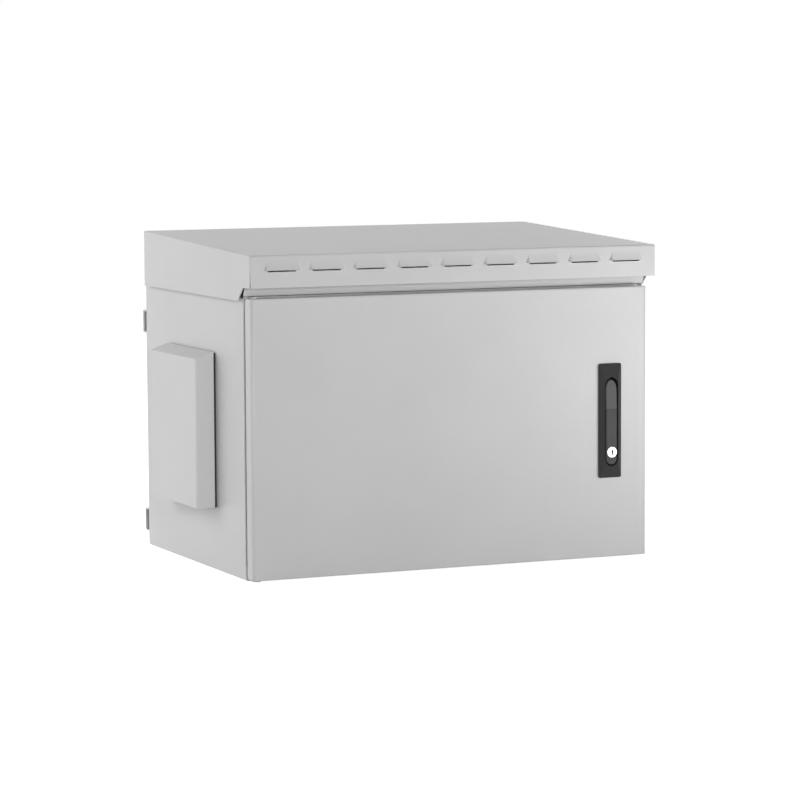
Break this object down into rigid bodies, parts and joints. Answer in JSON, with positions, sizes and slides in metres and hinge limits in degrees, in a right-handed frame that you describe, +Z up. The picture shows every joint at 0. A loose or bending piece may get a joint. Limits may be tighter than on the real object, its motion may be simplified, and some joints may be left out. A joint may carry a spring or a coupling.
{
  "type": "outdoor wall-mount equipment cabinet",
  "caption": "Steel outdoor wall cabinet for 19-inch equipment, with a louvred rain roof, side vent hoods, wall rails, a swinging door with a lift-out lever lock, rack rails and a fan.",
  "frame": {"origin": "centre of the cabinet's bottom face", "axes": "+Z up, the door faces -Y, the wall is at +Y, +X to the right of someone facing the door"},
  "size_m": [0.66, 0.451, 0.4603],
  "materials": {
    "powder_coat": "light grey fine-texture powder coat on steel sheet",
    "zinc_steel": "zinc-plated steel",
    "bright_steel": "bright nickel-plated metal",
    "seal_rubber": "black sealing foam and rubber",
    "black_plastic": "black glass-filled nylon",
    "filter_fleece": "pale filter fleece"
  },
  "bodies": {
    "cabinet": {"body_wrap": "powder_coat", "front_frame": "powder_coat", "back_panel": "powder_coat", "roof_cover": "powder_coat", "roof_bracket_left": "powder_coat", "roof_bracket_right": "powder_coat", "roof_bolts": "zinc_steel", "wall_rail_upper": "powder_coat", "wall_rail_lower": "powder_coat", "vent_hood_left": "powder_coat", "vent_hood_right": "powder_coat", "hood_gasket_left": "seal_rubber", "hood_gasket_right": "seal_rubber", "hood_screws": "zinc_steel", "filter_frame_left": "black_plastic", "filter_frame_right": "black_plastic", "filter_mat_left": "filter_fleece", "filter_mat_right": "filter_fleece", "filter_screws": "zinc_steel", "fan_frame": "black_plastic", "fan_guard": "bright_steel", "fan_screws": "zinc_steel", "depth_support_upper_left": "zinc_steel", "depth_support_upper_right": "zinc_steel", "depth_support_lower_left": "zinc_steel", "depth_support_lower_right": "zinc_steel", "rack_rail_front_left": "zinc_steel", "rack_rail_front_right": "zinc_steel", "rack_rail_rear_left": "zinc_steel", "rack_rail_rear_right": "zinc_steel", "rail_screws": "zinc_steel", "gland_plate": "zinc_steel", "gland_gasket": "seal_rubber", "cable_grommet_1": "seal_rubber", "cable_grommet_2": "seal_rubber", "cable_grommet_3": "seal_rubber", "cable_grommet_4": "seal_rubber", "gland_screws": "zinc_steel", "hinge_ear_upper": "powder_coat", "hinge_ear_lower": "powder_coat", "earth_stud_body": "zinc_steel"},
    "door": {"door_panel": "powder_coat", "door_gasket": "seal_rubber", "hinge_block_upper": "zinc_steel", "hinge_block_lower": "zinc_steel", "hinge_pin_upper": "bright_steel", "hinge_pin_lower": "bright_steel", "lock_escutcheon": "black_plastic", "lock_gasket": "seal_rubber", "lock_screws": "zinc_steel", "lock_spindle": "zinc_steel", "lever_pin": "bright_steel", "latch_cam": "zinc_steel", "cam_screw": "zinc_steel", "earth_stud_door": "zinc_steel"},
    "lever": {"lock_lever": "black_plastic", "lock_cylinder": "bright_steel"},
    "key": {"key_plug": "bright_steel"},
    "fan": {"fan_rotor": "black_plastic"}
  },
  "joints": [
    {"name": "door_hinge", "type": "hinge", "parent": "cabinet", "child": "door", "pos_m": [-0.29, -0.212, 0.1935], "axis": [0, 0, -1], "range_deg": [0, 180]},
    {"name": "lever_lift", "type": "hinge", "parent": "door", "child": "lever", "pos_m": [0.2402, -0.2192, 0.2359], "axis": [-1, 0, 0], "range_deg": [0, 30]},
    {"name": "key_turn", "type": "hinge", "parent": "lever", "child": "key", "pos_m": [0.2402, -0.23, 0.1523], "axis": [0, 1, 0], "range_deg": [0, 90]},
    {"name": "fan_spin", "type": "hinge", "parent": "cabinet", "child": "fan", "pos_m": [0.272, 0.004, 0.196], "axis": [1, 0, 0], "continuous": true}
  ]
}
